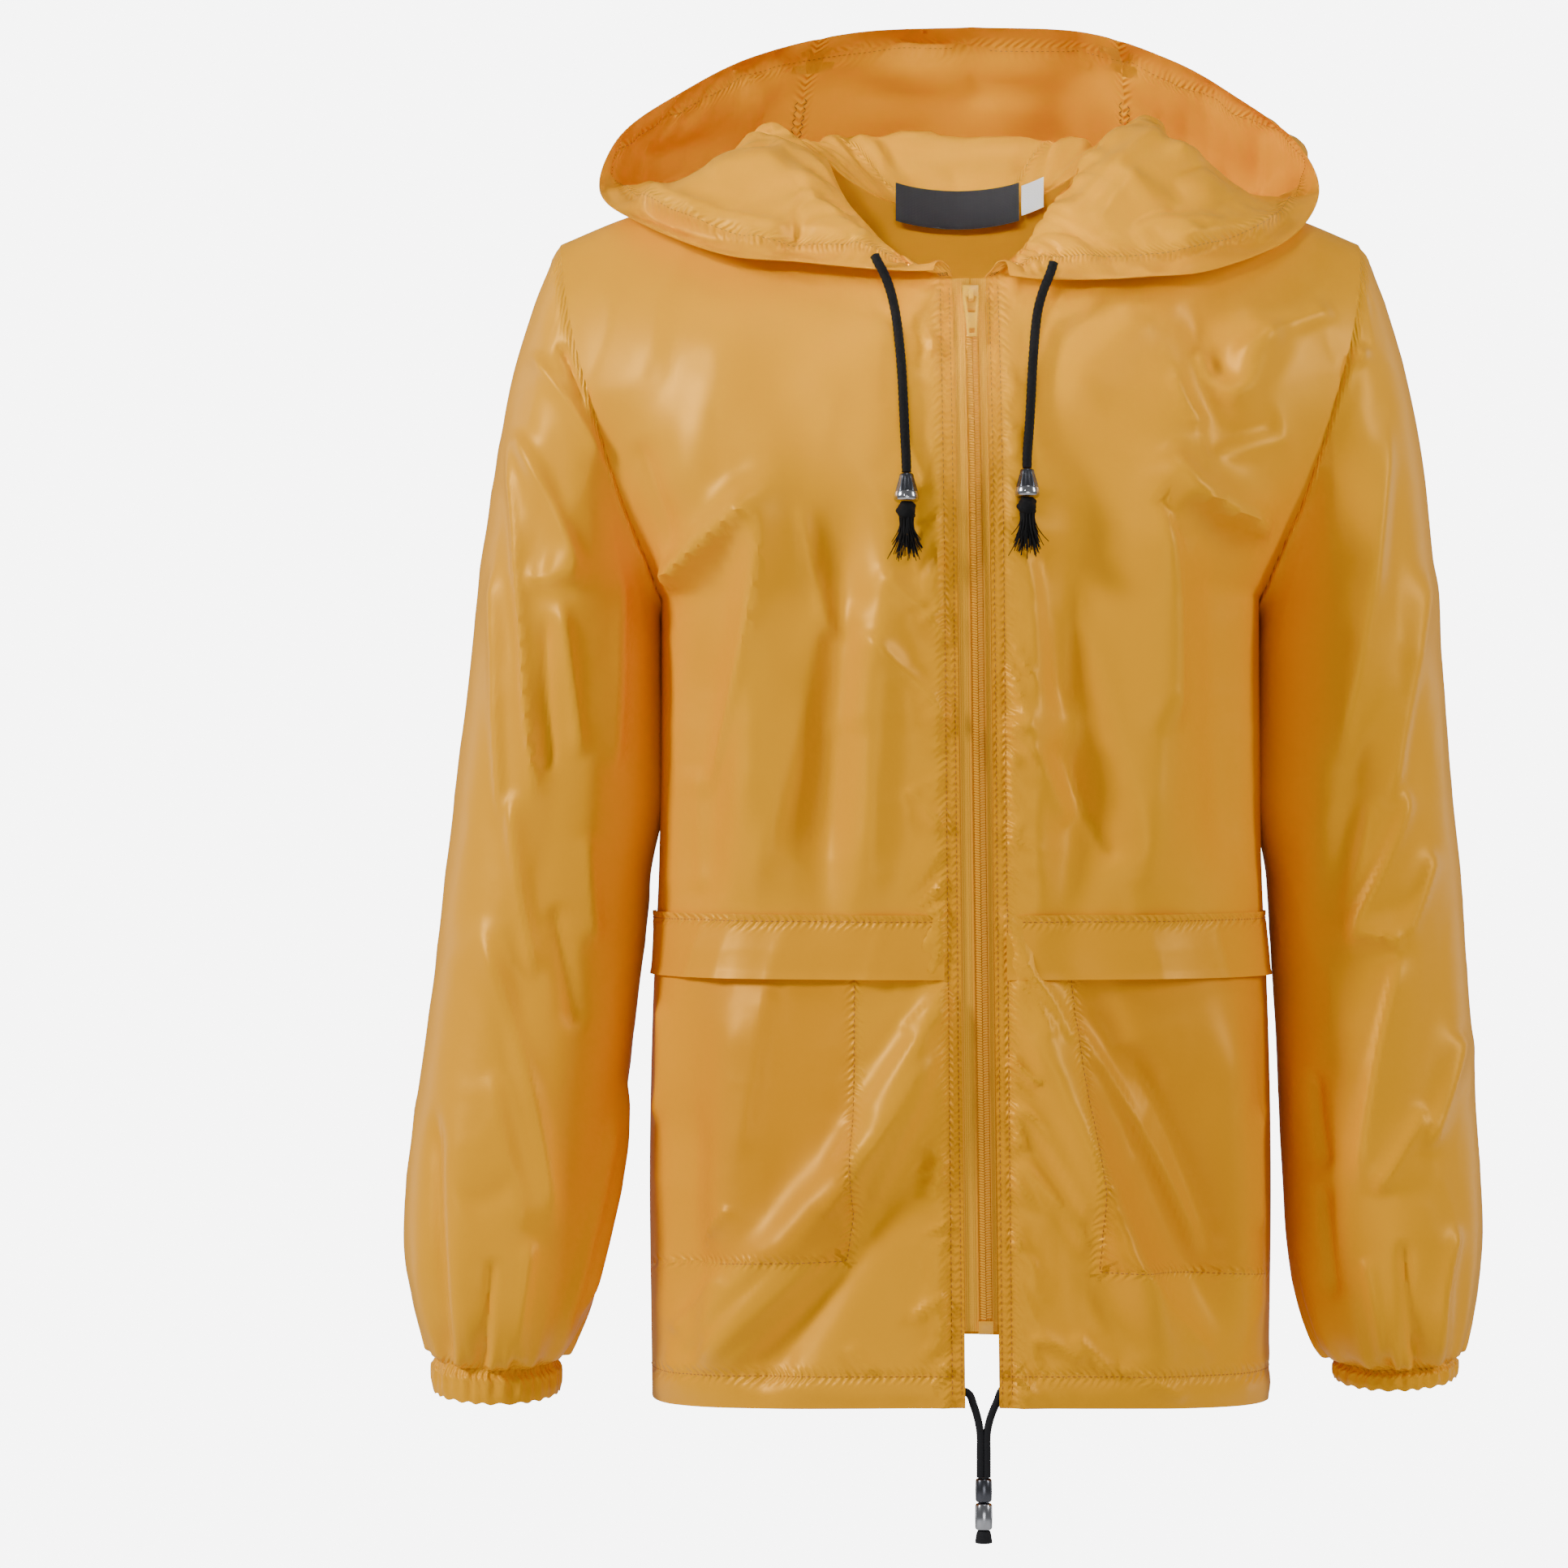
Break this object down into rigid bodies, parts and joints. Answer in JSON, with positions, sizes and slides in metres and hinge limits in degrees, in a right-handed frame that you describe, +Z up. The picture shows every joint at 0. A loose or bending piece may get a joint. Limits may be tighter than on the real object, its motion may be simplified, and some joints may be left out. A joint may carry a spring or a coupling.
{
  "type": "hooded raincoat",
  "caption": "Hooded zip-front raincoat, hollow and filled out as if worn, hood down, with a waist flap each side, gathered cuffs, and drawcords at hood and hem.",
  "frame": {"origin": "midway between the two points where the shoulder seams meet the neck, which the wearer's shoulders carry", "axes": "+Z up, the coat faces -Y, +X is the wearer's left"},
  "size_m": [0.635, 0.3225, 0.8962],
  "materials": {
    "coat_cloth": "smooth nylon",
    "zip_cloth": "woven tape",
    "zip_plastic": "moulded",
    "zip_paint": "painted",
    "label_cloth": "woven",
    "care_cloth": "printed satin, bare",
    "black_cord": "braided",
    "elastic": "woven elastic",
    "steel": "polished",
    "dark_steel": "dark polished"
  },
  "bodies": {
    "garment": {"front_left": "coat_cloth", "front_right": "coat_cloth", "back": "coat_cloth", "sleeve_left": "coat_cloth", "sleeve_right": "coat_cloth", "cuff_left": "coat_cloth", "cuff_right": "coat_cloth", "hood_left": "coat_cloth", "hood_centre": "coat_cloth", "hood_right": "coat_cloth", "flap_left": "coat_cloth", "flap_right": "coat_cloth", "zip_tape_left": "zip_cloth", "zip_tape_right": "zip_cloth", "zip_teeth": "zip_plastic", "zip_box": "zip_plastic", "zip_slider": "zip_paint", "neck_label": "label_cloth", "care_label": "care_cloth", "cord_left": "black_cord", "cord_right": "black_cord", "tassel_left": "black_cord", "tassel_right": "black_cord", "cord_end_left": "steel", "cord_end_right": "steel", "hem_bead_lower": "steel", "hem_bead_upper": "dark_steel", "hem_cord_left": "elastic", "hem_cord_right": "elastic", "hem_cord_tail": "elastic"},
    "pull_tab": {"zip_pull": "zip_paint"}
  },
  "joints": [
    {"name": "pull_tab_swing", "type": "hinge", "parent": "garment", "child": "pull_tab", "pos_m": [0.00349, -0.08351, -0.09179], "axis": [-1, 0, 0], "range_deg": [0, 165]}
  ]
}
